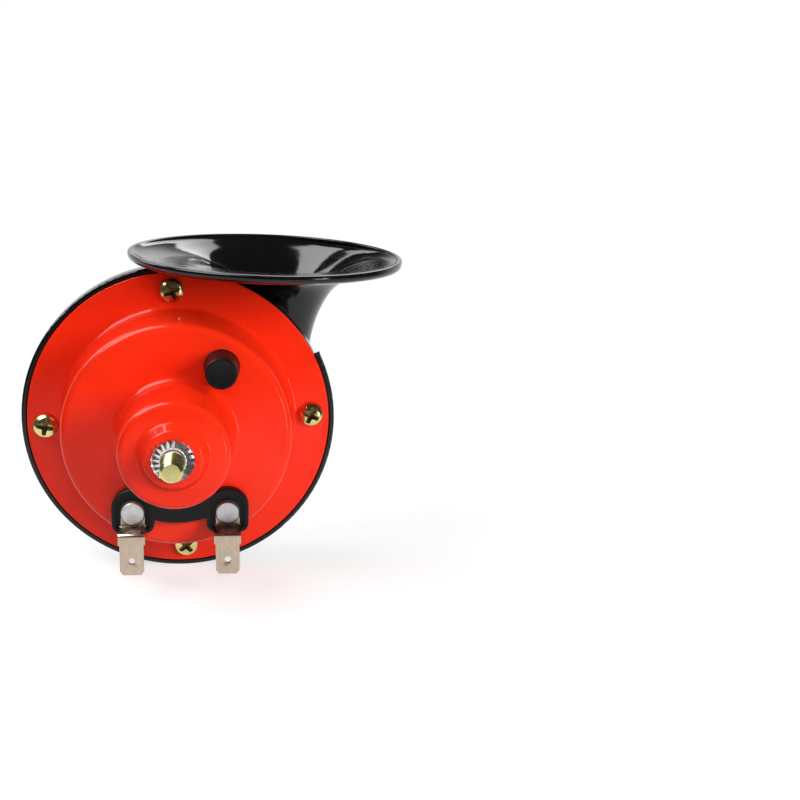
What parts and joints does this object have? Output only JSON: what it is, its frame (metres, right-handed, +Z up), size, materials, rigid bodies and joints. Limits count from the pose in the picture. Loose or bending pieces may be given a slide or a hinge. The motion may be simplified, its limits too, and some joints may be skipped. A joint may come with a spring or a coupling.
{
  "type": "car horn",
  "caption": "Electric snail horn: round pressed cover with a mounting stud and spade terminals in front of a moulded sound channel that curls up into an open bell.",
  "frame": {"origin": "on the stud's axis where its thread starts, just in front of the lock washer and 1.9 mm in front of the cover's raised pad", "axes": "-Y along the stud, out of the cover; +Z up, the way the bell opens; +X to the right of someone who looks at the cover"},
  "size_m": [0.104, 0.0872, 0.0905],
  "materials": {
    "red_enamel": "glossy orange-red enamel on pressed steel",
    "black_plastic": "polished black moulded plastic; fine grain on the back panel",
    "matt_black_plastic": "dull black moulding",
    "black_rubber": "soft black cap",
    "yellow_zinc": "yellow passivated zinc plate on steel",
    "bright_zinc": "clear zinc plate on steel",
    "nickel_plate": "warm nickel plate on brass strip",
    "satin_rivet": "satin tinned steel",
    "spring_steel": "blued spring steel",
    "gasket_paper": "dense grey-brown gasket paper",
    "natural_nylon": "natural nylon",
    "enamelled_copper": "enamelled copper wire",
    "fibre_board": "brown insulating fibre",
    "brass": "plain brass",
    "spring_bronze": "phosphor bronze strip",
    "tungsten": "ground tungsten"
  },
  "bodies": {
    "root": {"metal_cover": "red_enamel", "front_gasket": "gasket_paper", "diaphragm": "spring_steel", "rear_gasket": "gasket_paper", "throat_plate": "black_plastic", "snail_housing": "black_plastic", "cover_screws": "yellow_zinc", "mounting_stud": "yellow_zinc", "star_washer": "bright_zinc", "coil_bobbin": "natural_nylon", "coil_winding": "enamelled_copper", "bobbin_retainer": "bright_zinc", "armature": "bright_zinc", "backing_washer": "bright_zinc", "terminal_insulator": "matt_black_plastic", "inner_insulator": "fibre_board", "terminal_left": "nickel_plate", "terminal_right": "nickel_plate", "terminal_rivets": "satin_rivet", "adjuster_bush": "brass", "adjusting_screw": "bright_zinc", "adjuster_cap": "black_rubber", "breaker_bracket": "bright_zinc", "breaker_fibres": "fibre_board", "fixed_contact_strip": "brass", "moving_contact_spring": "spring_bronze", "contact_points": "tungsten", "pusher_button": "fibre_board", "breaker_rivets": "brass"}
  },
  "joints": []
}
